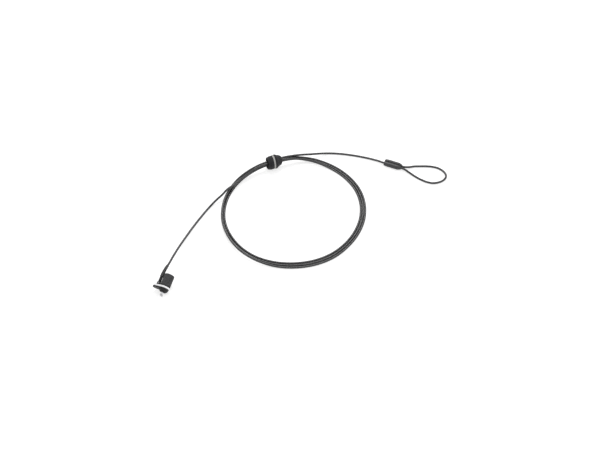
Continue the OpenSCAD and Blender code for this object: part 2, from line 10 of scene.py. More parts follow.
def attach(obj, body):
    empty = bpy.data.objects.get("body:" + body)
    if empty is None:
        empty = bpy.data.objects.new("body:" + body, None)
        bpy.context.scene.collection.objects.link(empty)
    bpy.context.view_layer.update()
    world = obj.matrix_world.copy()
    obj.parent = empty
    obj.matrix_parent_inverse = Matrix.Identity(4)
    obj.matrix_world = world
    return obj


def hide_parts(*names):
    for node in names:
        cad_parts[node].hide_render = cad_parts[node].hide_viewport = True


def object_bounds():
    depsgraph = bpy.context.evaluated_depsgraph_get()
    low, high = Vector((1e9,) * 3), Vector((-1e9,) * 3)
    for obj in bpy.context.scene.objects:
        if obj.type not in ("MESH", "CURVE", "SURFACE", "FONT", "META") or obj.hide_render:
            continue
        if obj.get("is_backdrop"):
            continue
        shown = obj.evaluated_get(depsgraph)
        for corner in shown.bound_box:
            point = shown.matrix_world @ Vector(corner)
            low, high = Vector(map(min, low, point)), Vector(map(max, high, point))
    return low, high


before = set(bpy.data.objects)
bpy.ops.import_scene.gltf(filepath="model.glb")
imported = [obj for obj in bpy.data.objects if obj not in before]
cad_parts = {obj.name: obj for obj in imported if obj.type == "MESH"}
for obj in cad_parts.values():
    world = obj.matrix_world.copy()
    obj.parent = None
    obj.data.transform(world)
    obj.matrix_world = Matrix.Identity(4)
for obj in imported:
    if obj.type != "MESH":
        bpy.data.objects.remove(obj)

bl_info = {
    "name": "Cable Lock",
    "version": (1, 0, 0),
    "blender": (4, 5, 0),
    "location": "3D View > Sidebar > Cable Lock",
    "description": "Lays the cable, wraps the strap and gives each part of a cable lock its finish",
    "category": "Add Mesh",
}

MM = 0.001
UP = Vector((0, 0, 1))
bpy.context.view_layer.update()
FLOOR_REACH = 6.0

# Lock head: the point on its axis at the front of the sleeve, and how far
# the axis leans down towards the T-bar
HEAD_ORIGIN = Vector((0.004625, -0.002794, 0.008363))
HEAD_TILT = math.radians(18)

# Winding and strap, as the CAD lays them
CABLE_HEIGHT = 0.00175
# The strands lie against one another here, and a hair apart in the CAD
HALF_PITCH = 0.0017
LOOSE_GAP = 0.0006
WINDING_CENTRE = Vector((0.1201, 0.2031, 0))
WINDING_RADIUS = 0.106
# How far the strap draws the loops in, how many degrees before it this is
# deepest, and over how many degrees it fades before and after
WINDING_DENT = 0.0108
DENT_LEAD = 5
DENT_BEFORE = 62
DENT_AFTER = 56
# Uneven places of the loops: how far out, at how many degrees and how wide
SWELLS = ((0.0013, 88, 36), (-0.0011, 142, 30), (0.0023, 235, 45), (-0.0023, 300, 28))
STRAP_ANGLE = math.radians(129)
STRAP_RUN = 0.011
STRAP_ALONG = Vector((math.cos(math.radians(43)), math.sin(math.radians(43)), 0))
STRAP_OUT = Vector((-STRAP_ALONG.y, STRAP_ALONG.x, 0))
STRAP_INNER = 0.004698
STRAP_HEIGHT = 0.010961
STRAND_LIFT = STRAP_HEIGHT - CABLE_HEIGHT - HALF_PITCH
# Degrees from the strap over which the winding comes down to the table
LIFT_FADE = 50
# The stripe's start, as a share of the strap's turns before its end, and the
# bare turns that are left after the stripe
STRIPE_SHARE = 21 / 92
STRIPE_BARE = 0.23
LOOPS = 3
RINGS_PER_LOOP = 24
# In cable radii: how far off another strand counts as a neighbour, and how
# much of a strand's own length to either side doesn't
NEIGHBOUR_REACH = 2.2
OWN_STRETCH = 6

# Ferrule and its cover
COVER_START = Vector((0.2188, 0.3449, 0.0036))
COVER_ALONG = Vector((math.cos(math.radians(-1.5)), math.sin(math.radians(-1.5)), 0))
COVER_OUT = Vector((-COVER_ALONG.y, COVER_ALONG.x, 0))
COVER_LENGTH = 0.028
BORE_OFFSET = 0.002
CUT_END = 0.0042

# Where the cable leaves the boot behind the link, and which way
BOOT_EXIT = Vector((-0.005925, 0.029986, 0.013805))
BOOT_ALONG = Vector((0, math.cos(math.radians(-11)), math.sin(math.radians(-11))))

# Straight length of the cable where it meets the boot or the cover
STRAIGHT = 0.0033
# Points of the cable from the lock to the winding
LOCK_ROUTE = (
    (-0.0063, 0.0391, 0.0121), (-0.0071, 0.0492, 0.0104), (-0.0076, 0.0594, 0.0088),
    (-0.0079, 0.0696, 0.0073), (-0.0079, 0.0799, 0.0059), (-0.0077, 0.0902, 0.0046),
    (-0.0073, 0.1005, 0.0035), (-0.0068, 0.1107, 0.0027), (-0.0059, 0.1209, 0.0021),
    (-0.0048, 0.131, 0.0018), (-0.0033, 0.141, 0.0018), (-0.0017, 0.1512, 0.0018),
    (0.0003, 0.1615, 0.0018), (0.0026, 0.1687, 0.0031), (0.0065, 0.1784, 0.0054),
    (0.011, 0.1881, 0.0078), (0.0147, 0.1994, 0.0097), (0.0191, 0.2086, 0.0097),
    (0.0219, 0.2174, 0.0087), (0.0242, 0.226, 0.0079), (0.0301, 0.2374, 0.0093),
    (0.0367, 0.2493, 0.0112),
)
# Points of the cable from the winding to the ferrule
LOOP_ROUTE = (
    (0.0898, 0.3034, 0.011), (0.0975, 0.3089, 0.0096), (0.1049, 0.3144, 0.0075),
    (0.1122, 0.3201, 0.0056), (0.1198, 0.3257, 0.0038), (0.1277, 0.3304, 0.0026),
    (0.1361, 0.3342, 0.002), (0.1449, 0.3371, 0.0018), (0.1541, 0.3394, 0.0018),
    (0.1638, 0.3413, 0.0018), (0.1735, 0.3429, 0.0018), (0.1831, 0.344, 0.0018),
    (0.1927, 0.3448, 0.0019), (0.2022, 0.3448, 0.0023), (0.2107, 0.3441, 0.003),
)
# Points of the eye, from the ferrule and back to it
EYE_ROUTE = (
    (0.2608, 0.339, 0.0026), (0.2712, 0.3352, 0.0019), (0.2819, 0.3321, 0.0018),
    (0.2923, 0.3306, 0.0018), (0.3015, 0.3316, 0.0018), (0.3094, 0.3361, 0.0018),
    (0.3153, 0.3433, 0.0018), (0.3171, 0.3507, 0.0018), (0.3148, 0.3568, 0.0018),
    (0.3088, 0.3616, 0.0018), (0.3008, 0.3643, 0.0018), (0.2918, 0.3641, 0.0018),
    (0.2825, 0.3618, 0.0018), (0.2733, 0.3583, 0.0018), (0.2642, 0.3543, 0.0019),
    (0.2568, 0.3491, 0.0026),
)


class CableLockCable(bpy.types.PropertyGroup):
    """Sizes and colour of the coated cable"""

    diameter: FloatProperty(
        name="Diameter",
        description="Outside diameter of the coated cable",
        default=0.0033,
        min=0.002,
        max=0.004,
        unit="LENGTH",
    )
    ring_step: FloatProperty(
        name="Ring Step",
        description="Distance between rings of the tube",
        default=0.0012,
        min=0.0005,
        max=0.004,
        unit="LENGTH",
    )
    strands: IntProperty(
        name="Strands",
        description="Steel strands that show faintly through the jacket",
        default=6,
        min=3,
        max=9,
    )
    lay: FloatProperty(
        name="Lay",
        description="Length of cable in which a strand winds round once",
        default=0.016,
        min=0.008,
        max=0.05,
        unit="LENGTH",
    )
    relief: FloatProperty(
        name="Relief",
        description="Depth of the valleys between the strands",
        default=0.000008,
        min=0.0,
        max=0.0003,
        precision=5,
        unit="LENGTH",
    )
    jacket: FloatVectorProperty(
        name="Jacket",
        description="Colour of the vinyl jacket",
        subtype="COLOR",
        default=(0.02, 0.02, 0.021),
        min=0.0,
        max=1.0,
    )


class CableLockStrap(bpy.types.PropertyGroup):
    """Sizes and colours of the hook-and-loop strap"""

    width: FloatProperty(
        name="Width",
        description="Width of the strap",
        default=0.021,
        min=0.01,
        max=0.03,
        unit="LENGTH",
    )
    thickness: FloatProperty(
        name="Thickness",
        description="Thickness of one layer",
        default=0.0012,
        min=0.0005,
        max=0.00135,
        precision=4,
        unit="LENGTH",
    )
    pitch: FloatProperty(
        name="Layer Pitch",
        description="Distance from one layer to the next",
        default=0.00135,
        min=0.001,
        max=0.002,
        precision=5,
        unit="LENGTH",
    )
    turns: FloatProperty(
        name="Turns",
        description="Turns of the strap round the cables",
        default=3.8,
        min=1.0,
        max=5.0,
    )
    pile: FloatProperty(
        name="Pile",
        description="Height of the looped pile",
        default=0.00012,
        min=0.0,
        max=0.0005,
        precision=5,
        unit="LENGTH",
    )
    stripe_width: FloatProperty(
        name="Stripe Width",
        description="Width of the pale stripe",
        default=0.0026,
        min=0.001,
        max=0.006,
        unit="LENGTH",
    )
    webbing: FloatVectorProperty(
        name="Webbing",
        description="Colour of the strap",
        subtype="COLOR",
        default=(0.018, 0.018, 0.020),
        min=0.0,
        max=1.0,
    )
    stripe: FloatVectorProperty(
        name="Stripe",
        description="Colour of the stripe",
        subtype="COLOR",
        default=(0.52, 0.52, 0.50),
        min=0.0,
        max=1.0,
    )


class CableLockHead(bpy.types.PropertyGroup):
    """Colours of the lock head and the ferrule"""

    sleeve: FloatVectorProperty(
        name="Sleeve",
        description="Colour of the rubber sleeve",
        subtype="COLOR",
        default=(0.06, 0.06, 0.063),
        min=0.0,
        max=1.0,
    )
    collar: FloatVectorProperty(
        name="Collar",
        description="Colour of the bright collar plate",
        subtype="COLOR",
        default=(0.80, 0.80, 0.81),
        min=0.0,
        max=1.0,
    )
    paint: FloatVectorProperty(
        name="Paint",
        description="Colour of the painted base, nose and link",
        subtype="COLOR",
        default=(0.011, 0.011, 0.012),
        min=0.0,
        max=1.0,
    )
    brass: FloatVectorProperty(
        name="Brass",
        description="Colour of the key plug",
        subtype="COLOR",
        default=(0.72, 0.56, 0.27),
        min=0.0,
        max=1.0,
    )
    cover: FloatVectorProperty(
        name="Ferrule Cover",
        description="Colour of the moulded cover over the ferrule",
        subtype="COLOR",
        default=(0.026, 0.026, 0.027),
        min=0.0,
        max=1.0,
    )


class CableLockStage(bpy.types.PropertyGroup):
    """Camera, floor and lamps"""

    camera_place: FloatVectorProperty(
        name="Camera",
        description="Place of the camera",
        subtype="TRANSLATION",
        default=(0.5557, -0.8869, 1.3889),
        unit="LENGTH",
    )
    camera_aim: FloatVectorProperty(
        name="Aim",
        description="Point that the camera looks at",
        subtype="TRANSLATION",
        default=(0.1407, 0.1808, 0.0),
        unit="LENGTH",
    )
    focal_length: FloatProperty(
        name="Focal Length",
        description="Focal length of the camera, in millimetres",
        default=72.0,
        min=20.0,
        max=200.0,
    )
    floor_colour: FloatVectorProperty(
        name="Floor",
        description="Colour of the floor",
        subtype="COLOR",
        default=(0.82, 0.82, 0.82),
        min=0.0,
        max=1.0,
    )
    key_power: FloatProperty(
        name="Key Power",
        description="Power of the soft lamp above and behind, in watts",
        default=14.0,
        min=0.0,
        max=100.0,
    )
    fill_power: FloatProperty(
        name="Fill Power",
        description="Power of the low, wide lamp in front, in watts",
        default=3.0,
        min=0.0,
        max=100.0,
    )
    sky: FloatProperty(
        name="Sky",
        description="Strength of the even light from all round",
        default=0.55,
        min=0.0,
        max=2.0,
    )


class Finish:
    """A node material, with short ways to add its patterns."""

    def __init__(self, name, roughness, metallic=0.0, specular=0.5):
        self.material = bpy.data.materials.new(name)
        self.material.use_nodes = True
        self.tree = self.material.node_tree
        self.shader = self.tree.nodes["Principled BSDF"]
        self.shader.inputs["Roughness"].default_value = roughness
        self.shader.inputs["Metallic"].default_value = metallic
        self.shader.inputs["Specular IOR Level"].default_value = specular

    def add(self, kind, **settings):
        node = self.tree.nodes.new(kind)
        for name, value in settings.items():
            setattr(node, name, value)
        return node

    def join(self, source, socket):
        self.tree.links.new(source, socket)

    def millimetres(self, stretch=(1, 1, 1), about_head=False):
        """Coordinates in millimetres, in the row frame or about the lock's axis."""
        coords = self.add("ShaderNodeTexCoord")
        mapping = self.add("ShaderNodeMapping", vector_type="TEXTURE")
        mapping.inputs["Scale"].default_value = [MM * s for s in stretch]
        if about_head:
            mapping.inputs["Location"].default_value = HEAD_ORIGIN
            mapping.inputs["Rotation"].default_value = (math.pi / 2 + HEAD_TILT, 0, 0)
        self.join(coords.outputs["Object"], mapping.inputs["Vector"])
        return mapping.outputs["Vector"]

    def noise(self, place, size, detail=2.0, roughness=0.5):
        """Soft noise whose patches are about size millimetres across."""
        node = self.add("ShaderNodeTexNoise")
        node.inputs["Scale"].default_value = 1 / size
        node.inputs["Detail"].default_value = detail
        node.inputs["Roughness"].default_value = roughness
        self.join(place, node.inputs["Vector"])
        return node.outputs["Fac"]

    def cells(self, place, size):
        """Rounded cells, such as grains or woven loops, about size millimetres across."""
        node = self.add("ShaderNodeTexVoronoi", feature="F1")
        node.inputs["Scale"].default_value = 1 / size
        self.join(place, node.inputs["Vector"])
        return node.outputs["Distance"]

    def lines(self, place, gap, shape):
        """Fine lines across Z, or rings about it, that stand gap millimetres apart."""
        node = self.add("ShaderNodeTexWave", wave_type=shape)
        node.bands_direction = "Z"
        node.rings_direction = "Z"
        node.inputs["Scale"].default_value = math.pi / (10 * gap)
        node.inputs["Distortion"].default_value = 0.6
        self.join(place, node.inputs["Vector"])
        return node.outputs["Fac"]

    def scaled(self, value, low, high, start=0.0, end=1.0):
        """The value moved from start..end to low..high."""
        node = self.add("ShaderNodeMapRange")
        node.inputs["From Min"].default_value = start
        node.inputs["From Max"].default_value = end
        node.inputs["To Min"].default_value = low
        node.inputs["To Max"].default_value = high
        self.join(value, node.inputs["Value"])
        return node.outputs["Result"]

    def total(self, first, second, weight=1.0):
        """first + weight * second."""
        node = self.add("ShaderNodeMath", operation="MULTIPLY_ADD")
        self.join(second, node.inputs[0])
        node.inputs[1].default_value = weight
        self.join(first, node.inputs[2])
        return node.outputs["Value"]

    def shades(self, value, colour, dark, light, start=0.35, end=0.65):
        """Colour from dark times the given one, at start, to light times it, at end."""
        node = self.add("ShaderNodeValToRGB")
        ramp = node.color_ramp
        ramp.elements[0].position = start
        ramp.elements[0].color = (*[min(1.0, c * dark) for c in colour], 1)
        ramp.elements[1].position = end
        ramp.elements[1].color = (*[min(1.0, c * light) for c in colour], 1)
        self.join(value, node.inputs["Fac"])
        self.join(node.outputs["Color"], self.shader.inputs["Base Color"])

    def gloss(self, value, low, high):
        """Roughness that wanders with the value."""
        self.join(self.scaled(value, low, high), self.shader.inputs["Roughness"])

    def relief(self, height, depth):
        """Relief that is depth millimetres deep."""
        node = self.add("ShaderNodeBump")
        node.inputs["Distance"].default_value = depth * MM
        self.join(height, node.inputs["Height"])
        self.join(node.outputs["Normal"], self.shader.inputs["Normal"])


def rubber(name, colour, grain, contrast, shade_rim=0.0):
    """Moulded rubber: mottled, with a fine grain and a rim darkened by painted shade, in
    millimetres.
    """
    finish = Finish(name, 0.7, specular=0.3)
    place = finish.millimetres()
    mottle = finish.noise(place, 1.7, detail=5.0, roughness=0.75)
    pores = finish.cells(place, grain)
    tone = mottle
    if shade_rim:
        # Painted shade: darker over the last millimetres along the lock's axis up to the head's
        # front, where the sleeve meets the collar plate
        apart = finish.add("ShaderNodeSeparateXYZ")
        finish.join(finish.millimetres(about_head=True), apart.inputs["Vector"])
        edge = finish.scaled(apart.outputs["Z"], 0.0, 1.0, -shade_rim, 0.0)
        tone = finish.total(mottle, edge, -0.5)
    finish.shades(tone, colour, 1 - contrast, 1 + contrast, 0.34, 0.66)
    finish.gloss(mottle, 0.62, 0.82)
    finish.relief(finish.total(mottle, pores, 0.6), 0.09)
    return finish.material


def cast_metal(name, colour):
    """Die-cast metal: grey, dull and slightly pitted."""
    finish = Finish(name, 0.5, metallic=1.0)
    place = finish.millimetres()
    clouds = finish.noise(place, 2.5, detail=3.0)
    finish.shades(clouds, colour, 0.85, 1.05)
    finish.gloss(clouds, 0.42, 0.58)
    finish.relief(finish.noise(place, 0.18, detail=2.0), 0.015)
    return finish.material


def turned_metal(name, colour, ring_gap, low, high):
    """Turned metal: fine rings about the lock's axis, with handling marks."""
    finish = Finish(name, 0.3, metallic=1.0)
    place = finish.millimetres(about_head=True)
    rings = finish.lines(place, ring_gap, "RINGS")
    marks = finish.noise(place, 1.6, detail=4.0, roughness=0.6)
    finish.shades(marks, colour, 0.93, 1.04)
    finish.gloss(marks, low, high)
    finish.relief(finish.total(marks, rings, 0.5), 0.006)
    return finish.material


def plated_steel(name, colour, roughness):
    """Plated or blackened steel with faint rolling marks."""
    finish = Finish(name, roughness, metallic=1.0)
    place = finish.millimetres(stretch=(1, 1, 6), about_head=True)
    marks = finish.noise(place, 0.35, detail=3.0)
    finish.shades(marks, colour, 0.9, 1.05)
    finish.gloss(marks, roughness * 0.75, roughness * 1.3)
    finish.relief(marks, 0.004)
    return finish.material


def paint(name, colour):
    """Half-matt paint with orange peel and a few rubbed places."""
    finish = Finish(name, 0.45, specular=0.35)
    place = finish.millimetres()
    peel = finish.noise(place, 0.3, detail=1.5)
    rubs = finish.noise(place, 1.8, detail=5.0, roughness=0.65)
    finish.shades(rubs, colour, 0.8, 1.6, 0.4, 0.72)
    finish.gloss(rubs, 0.4, 0.55)
    finish.relief(peel, 0.02)
    return finish.material


def jacket(colour):
    """Vinyl jacket with soft scuffs, painted shade where its strands touch and a faint painted
    shade in the valleys of the strand relief.
    """
    finish = Finish("cable_jacket", 0.3, specular=0.5)
    place = finish.millimetres()
    scuffs = finish.noise(place, 2.2, detail=4.0, roughness=0.6)
    # Painted shade: a faint darkening in the valleys of the strand relief
    valley = finish.add("ShaderNodeAttribute", attribute_name="strand").outputs["Fac"]
    # Painted shade: darker where the cable lies close against another of its strands, lighter where
    # it lies free
    contact_shade = finish.add("ShaderNodeAttribute", attribute_name="open").outputs["Fac"]
    tone = finish.total(finish.total(scuffs, valley, 0.05), contact_shade, 0.5)
    finish.shades(tone, colour, 0.12, 1.6, 0.45, 1.0)
    finish.gloss(scuffs, 0.25, 0.36)
    finish.relief(finish.noise(place, 0.25, detail=2.0), 0.012)
    return finish.material


def moulded_plastic(name, colour):
    """Moulded plastic with cloudy scuffs, and painted shade that darkens the hollow between its
    lobes.
    """
    finish = Finish(name, 0.42, specular=0.4)
    place = finish.millimetres()
    texture = finish.noise(place, 0.22, detail=3.0, roughness=0.6)
    clouds = finish.noise(place, 1.6, detail=4.0, roughness=0.7)
    # Painted shade: darker in the hollow between the lobes
    hollow_shade = finish.add("ShaderNodeAttribute", attribute_name="hollow_shade").outputs["Fac"]
    finish.shades(finish.total(clouds, hollow_shade, -0.3), colour, 0.2, 2.6, 0.25, 0.65)
    finish.gloss(clouds, 0.34, 0.5)
    finish.relief(texture, 0.03)
    return finish.material


def looped_pile(colour):
    """Loop side of the strap: short tangled loops with a dull sheen."""
    finish = Finish("strap_webbing", 0.9, specular=0.2)
    finish.shader.inputs["Sheen Weight"].default_value = 0.25
    finish.shader.inputs["Sheen Roughness"].default_value = 0.5
    place = finish.millimetres()
    loops = finish.cells(place, 0.45)
    tangle = finish.noise(place, 1.4, detail=5.0, roughness=0.78)
    finish.shades(finish.total(tangle, loops, 0.5), colour, 0.35, 2.2, 0.45, 1.0)
    finish.gloss(tangle, 0.8, 0.95)
    finish.relief(finish.total(tangle, loops, 0.8), 0.18)
    return finish.material


def woven_stripe(colour):
    """Woven stripe: fine ribs across it, slightly soiled."""
    finish = Finish("stripe_weave", 0.8, specular=0.25)
    place = finish.millimetres()
    ribs = finish.lines(place, 0.35, "BANDS")
    soil = finish.noise(place, 1.2, detail=4.0, roughness=0.65)
    finish.shades(finish.total(soil, ribs, 0.2), colour, 0.72, 1.12, 0.4, 0.8)
    finish.gloss(soil, 0.7, 0.88)
    finish.relief(finish.total(soil, ribs, 1.0), 0.06)
    return finish.material


def dress(node, material):
    """Gives a CAD node its finish."""
    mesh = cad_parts[node].data
    mesh.materials.clear()
    mesh.materials.append(material)


def smooth_step(x):
    """Eases from 0 at x = 0 to 1 at x = 1."""
    t = min(1.0, max(0.0, x))
    return t * t * (3 - 2 * t)


def bump(x):
    """A smooth hump: 1 at x = 0, and 0 from 1 away."""
    return 0.5 + 0.5 * math.cos(math.pi * x) if abs(x) < 1 else 0.0


def loop_radius(angle):
    """Radius of the winding, which dips in at the strap. Angles are in degrees."""
    past = from_strap(angle) + DENT_LEAD
    dent = WINDING_DENT * bump(past / (DENT_BEFORE if past < 0 else DENT_AFTER))
    swell = sum(out * bump((angle - middle) / half) for out, middle, half in SWELLS)
    return WINDING_RADIUS - dent + swell


def from_strap(angle):
    """Degrees past the strap, negative where the loop comes back to it."""
    return angle - 360 if angle > 180 else angle


SPAN_ANGLE = math.degrees(math.atan(STRAP_RUN / loop_radius(0)))


def loop_lift(angle):
    """How far the winding rises towards the strap."""
    return STRAND_LIFT * bump(
        (abs(from_strap(angle)) - SPAN_ANGLE) / (LIFT_FADE - SPAN_ANGLE)
    )


def strand_side(strand, angle):
    """Sideways place of a strand: flat on the floor, drawn together in the strap."""
    start = HALF_PITCH if strand == 2 else -HALF_PITCH
    end = -HALF_PITCH if strand == 0 else HALF_PITCH
    loose = smooth_step((angle - 145) / 30) * (1 - smooth_step((angle - 200) / 40))
    flat = (strand - 1) * (2 * HALF_PITCH + LOOSE_GAP * loose)
    spread = smooth_step((angle - SPAN_ANGLE) / 18)
    gather = smooth_step((angle - 230) / 60)
    return start + (flat - start) * spread + (end - flat) * gather


def strand_up(strand, angle):
    """The first strand comes down off the others and the last climbs on them."""
    if strand == 0:
        return 2 * HALF_PITCH * (1 - smooth_step((angle - 20) / 40))
    if strand == 2:
        return 2 * HALF_PITCH * smooth_step((angle - 200) / 40)
    return 0.0


def around(angle, side, height):
    """A point of the winding, at an angle in degrees clockwise from the strap."""
    turn = STRAP_ANGLE - math.radians(angle)
    reach = loop_radius(angle) + side
    return WINDING_CENTRE + Vector(
        (reach * math.cos(turn), reach * math.sin(turn), height)
    )


def in_strap(along, side, up):
    """A point inside the strap, where the strands run straight."""
    middle = around(0, 0, CABLE_HEIGHT + STRAND_LIFT + up)
    return middle + along * STRAP_ALONG + side * STRAP_OUT


def strand_point(strand, ring):
    """Place of the winding's ring, counted from the strap."""
    if ring <= 1:
        return in_strap(ring * STRAP_RUN, strand_side(strand, 0), strand_up(strand, 0))
    step = (360 - 2 * SPAN_ANGLE) / (RINGS_PER_LOOP - 2)
    angle = SPAN_ANGLE + (ring - 1) * step
    side, up = strand_side(strand, angle), strand_up(strand, angle)
    if ring == RINGS_PER_LOOP - 1:
        return in_strap(-STRAP_RUN, side, up)
    return around(angle, side, CABLE_HEIGHT + loop_lift(angle) + up)


def on_cover(along, side):
    """A point level with the middle of the ferrule's cover."""
    return COVER_START + along * COVER_ALONG + side * COVER_OUT


def cable_route():
    """The whole cable, from the boot to its cut end inside the ferrule."""
    tail_in = in_strap(0, -HALF_PITCH, 2 * HALF_PITCH)
    winding = [
        strand_point(strand, ring)
        for strand in range(LOOPS)
        for ring in range(RINGS_PER_LOOP)
    ]
    tail_out = in_strap(0, HALF_PITCH, 2 * HALF_PITCH)
    return [
        BOOT_EXIT,
        BOOT_EXIT + STRAIGHT * BOOT_ALONG,
        *map(Vector, LOCK_ROUTE),
        tail_in - STRAP_RUN * STRAP_ALONG,
        *winding,
        tail_out,
        tail_out + STRAP_RUN * STRAP_ALONG,
        *map(Vector, LOOP_ROUTE),
        on_cover(-STRAIGHT, -BORE_OFFSET),
        on_cover(0, -BORE_OFFSET),
        on_cover(COVER_LENGTH, -BORE_OFFSET),
        on_cover(COVER_LENGTH + STRAIGHT, -BORE_OFFSET),
        *map(Vector, EYE_ROUTE),
        on_cover(COVER_LENGTH + STRAIGHT, BORE_OFFSET),
        on_cover(COVER_LENGTH, BORE_OFFSET),
        on_cover(CUT_END, BORE_OFFSET),
    ]


def smooth_line(points, step):
    """Points about a step apart on a smooth curve through the given ones."""
    spans = [(b - a).length for a, b in zip(points, points[1:])]
    slopes = [(b - a) / span for a, b, span in zip(points, points[1:], spans)]
    tangents = [slopes[0]]
    for i in range(1, len(points) - 1):
        before, after = spans[i - 1], spans[i]
        tangents.append(
            (after * slopes[i - 1] + before * slopes[i]) / (before + after)
        )
    tangents.append(slopes[-1])
    line = []
    for i, span in enumerate(spans):
        count = max(1, round(span / step))
        for j in range(count):
            t = j / count
            line.append(
                (2 * t**3 - 3 * t**2 + 1) * points[i]
                + (t**3 - 2 * t**2 + t) * span * tangents[i]
                + (3 * t**2 - 2 * t**3) * points[i + 1]
                + (t**3 - t**2) * span * tangents[i + 1]
            )
    line.append(points[-1].copy())
    return line


def new_piece(name, vertices, faces, material, smooth=True):
    """A mesh object of this name in the scene."""
    mesh = bpy.data.meshes.new(name)
    mesh.from_pydata([tuple(v) for v in vertices], [], faces)
    mesh.polygons.foreach_set("use_smooth", [smooth] * len(mesh.polygons))
    mesh.materials.append(material)
    mesh.validate()
    piece = bpy.data.objects.new(name, mesh)
    bpy.context.scene.collection.objects.link(piece)
    return piece


def strip_faces(rings, sides):
    """Four-sided faces between closed rings of points that follow one another."""
    return [
        (
            i * sides + j,
            i * sides + (j + 1) % sides,
            (i + 1) * sides + (j + 1) % sides,
            (i + 1) * sides + j,
        )
        for i in range(rings - 1)
        for j in range(sides)
    ]


def openness(line, vertices, sides, radius):
    """From 0 where a strand faces its neighbour closely to 1 where it lies free."""
    tree = kdtree.KDTree(len(line))
    for i, point in enumerate(line):
        tree.insert(point, i)
    tree.balance()
    own = round(OWN_STRETCH * radius / (line[1] - line[0]).length)
    shares = []
    for i, vertex in enumerate(vertices):
        near = [
            distance
            for _, k, distance in tree.find_range(vertex, NEIGHBOUR_REACH * radius)
            if abs(k - i // sides) > own
        ]
        gap = (min(near) - radius) / radius if near else 1
        shares.append(min(1, max(0, gap)))
    return shares


class CABLELOCK_OT_lay_cable(bpy.types.Operator):
    """Lay the cable from the boot, through its winding, to the eye"""

    bl_idname = "cable_lock.lay_cable"
    bl_label = "Lay Cable"
    bl_options = {"REGISTER", "UNDO"}

    def execute(self, context):
        cable = context.scene.cable_lock_cable
        line = smooth_line(cable_route(), cable.ring_step)
        sides = 3 * cable.strands
        radius = cable.diameter / 2
        vertices, strand = [], []
        run, previous = 0.0, None
        for i, point in enumerate(line):
            after, before = line[min(i + 1, len(line) - 1)], line[max(i - 1, 0)]
            along = (after - before).normalized()
            if previous is None:
                side = along.cross(UP).normalized()
            else:
                run += (point - line[i - 1]).length
                side = previous.rotation_difference(along) @ side
                side = (side - side.dot(along) * along).normalized()
            previous = along
            across = side.cross(along)
            for j in range(sides):
                turn = 2 * math.pi * j / sides
                wave = 0.5 + 0.5 * math.cos(
                    cable.strands * (turn - 2 * math.pi * run / cable.lay)
                )
                reach = radius - cable.relief * (1 - wave)
                vertices.append(
                    point + reach * (math.cos(turn) * side + math.sin(turn) * across)
                )
                strand.append(wave)
        faces = [tuple(reversed(f)) for f in strip_faces(len(line), sides)]
        faces.append(tuple(range(sides)))
        faces.append(tuple(reversed(range(len(vertices) - sides, len(vertices)))))
        piece = new_piece("cable", vertices, faces, jacket(cable.jacket))
        # The wave sets the relief and a faint painted shade in its valleys
        attribute = piece.data.attributes.new("strand", "FLOAT", "POINT")
        attribute.data.foreach_set("value", strand)
        # The openness drives the jacket's painted shade where strands touch
        attribute = piece.data.attributes.new("open", "FLOAT", "POINT")
        attribute.data.foreach_set("value", openness(line, vertices, sides, radius))
        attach(piece, "cable")
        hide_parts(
            "cable_lock_tail",
            "cable_coil",
            "cable_loop_tail",
            "cable_eye",
            "cable_crimp_run",
        )
        dress("cable_end", piece.data.materials[0])
        return {"FINISHED"}


def strap_centre():
    return around(0, 0, STRAP_HEIGHT)


def strap_sway(strap, turn, across):
    """Unevenness of the wound strap: its radius and sideways place in metres."""
    angle = 2 * math.pi * turn
    share = turn / strap.turns
    place = 2 * across / strap.width
    # Thicker in two places across its width, and thinner at its edges
    crown = 0.0007 * bump((place - 0.35) / 0.4) + 0.0003 * bump((place + 0.45) / 0.45)
    ends = 0.0023 * smooth_step((place - 0.3) / 0.7)
    ends += 0.0009 * smooth_step((-place - 0.6) / 0.4)
    swell = (crown - ends) * share
    swell += 0.0002 * math.sin(2 * angle + 0.7) * math.sin(260 * across + 0.5)
    # The layers wander sideways, and the last one most
    drift = 0.0011 - 0.0018 * smooth_step(share) + 0.0005 * math.sin(0.9 * angle + 0.4)
    drift -= 0.0022 * smooth_step((turn - strap.turns + 0.65) / 0.45)
    return swell, drift - 0.08 * share * across


def strap_point(strap, turn, out, across):
    """A point of the strap's spiral, out from its inner face and across its width."""
    swell, drift = strap_sway(strap, turn, across)
    reach = STRAP_INNER + strap.pitch * turn + out + swell * min(1, turn)
    angle = 2 * math.pi * turn
    point = (
        strap_centre()
        + reach * (math.cos(angle) * STRAP_OUT + math.sin(angle) * UP)
        + (across + drift) * STRAP_ALONG
    )
    # It is pressed flat where it rests on the table
    point.z = max(0, point.z)
    return point


def band_mesh(strap, first, last, steps, low, high, width, columns, pile):
    """Vertices and faces of a closed band along the strap's spiral."""
    half = width / 2
    corner = min(0.3 * (high - low), 0.0004)
    outline = [(high, -half + corner)]
    outline += [
        (high, -half + corner + (width - 2 * corner) * i / columns)
        for i in range(1, columns + 1)
    ]
    outline += [(high - corner, half), (low + corner, half)]
    outline += [
        (low, half - corner - (width - 2 * corner) * i / columns)
        for i in range(columns + 1)
    ]
    outline += [(low + corner, -half), (high - corner, -half)]
    vertices = []
    for i in range(steps + 1):
        turn = first + (last - first) * i / steps
        for out, across in outline:
            rough = noise.noise(Vector((turn * 90, across * 2600, out * 900)))
            lift = pile * rough if out == high else 0
            vertices.append(strap_point(strap, turn, out + lift, across))
    sides = len(outline)
    faces = strip_faces(steps + 1, sides)
    faces.append(tuple(reversed(range(sides))))
    faces.append(tuple(range(len(vertices) - sides, len(vertices))))
    return vertices, faces


